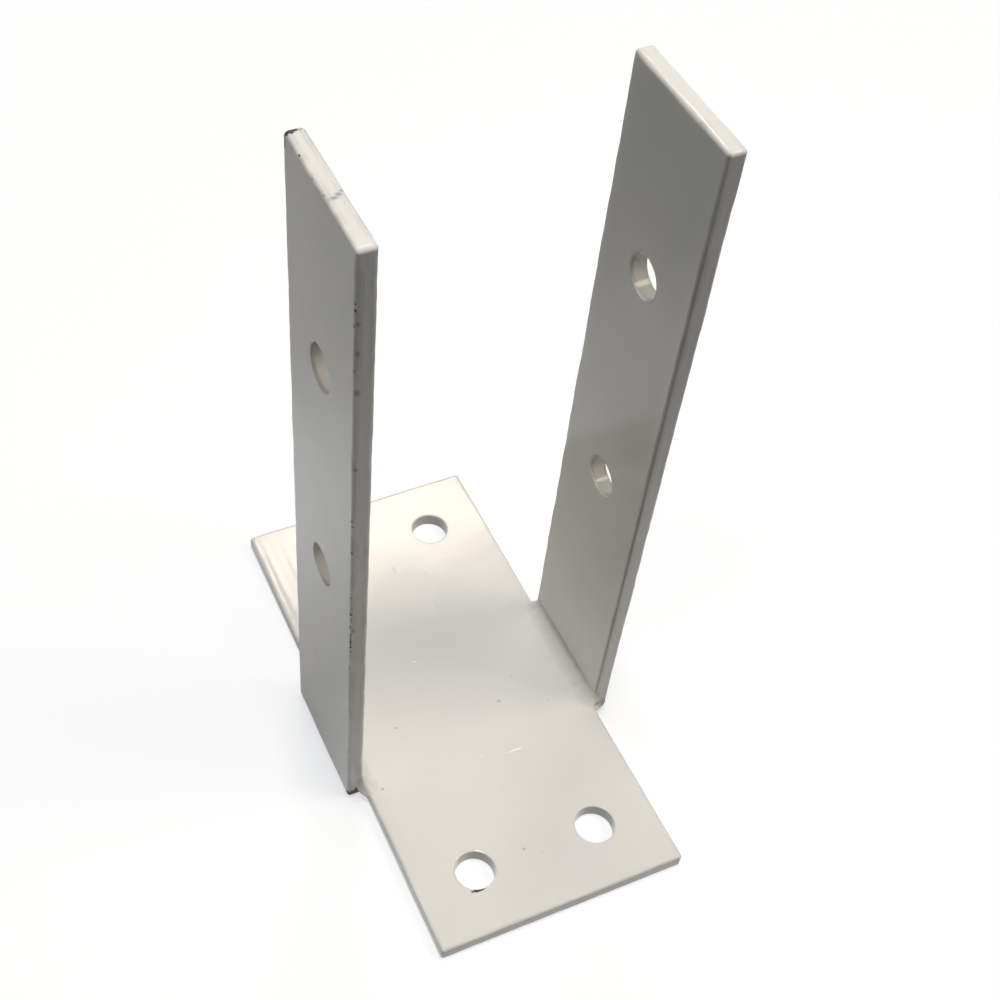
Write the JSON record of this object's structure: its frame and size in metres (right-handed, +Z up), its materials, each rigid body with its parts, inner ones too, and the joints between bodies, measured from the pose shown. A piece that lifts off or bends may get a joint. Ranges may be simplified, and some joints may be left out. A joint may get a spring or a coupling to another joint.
{
  "type": "timber post base",
  "caption": "Bolt-down timber post base: a flat rectangular plate with anchor holes, and an upright strap welded to each long side that holds the post and is drilled for through bolts.",
  "frame": {"origin": "centre of the base plate's underside, where it rests on the concrete", "axes": "+Z up along the post, +X across the gap between the two straps, +Y along the base plate's long side"},
  "size_m": [0.108, 0.195, 0.265],
  "materials": {
    "powder_coat": "satin off-white powder coat over steel, with faint orange peel and small chips at the edges"
  },
  "bodies": {
    "root": {"base_plate": "powder_coat", "left_strap": "powder_coat", "right_strap": "powder_coat", "left_weld": "powder_coat", "right_weld": "powder_coat"}
  },
  "joints": []
}
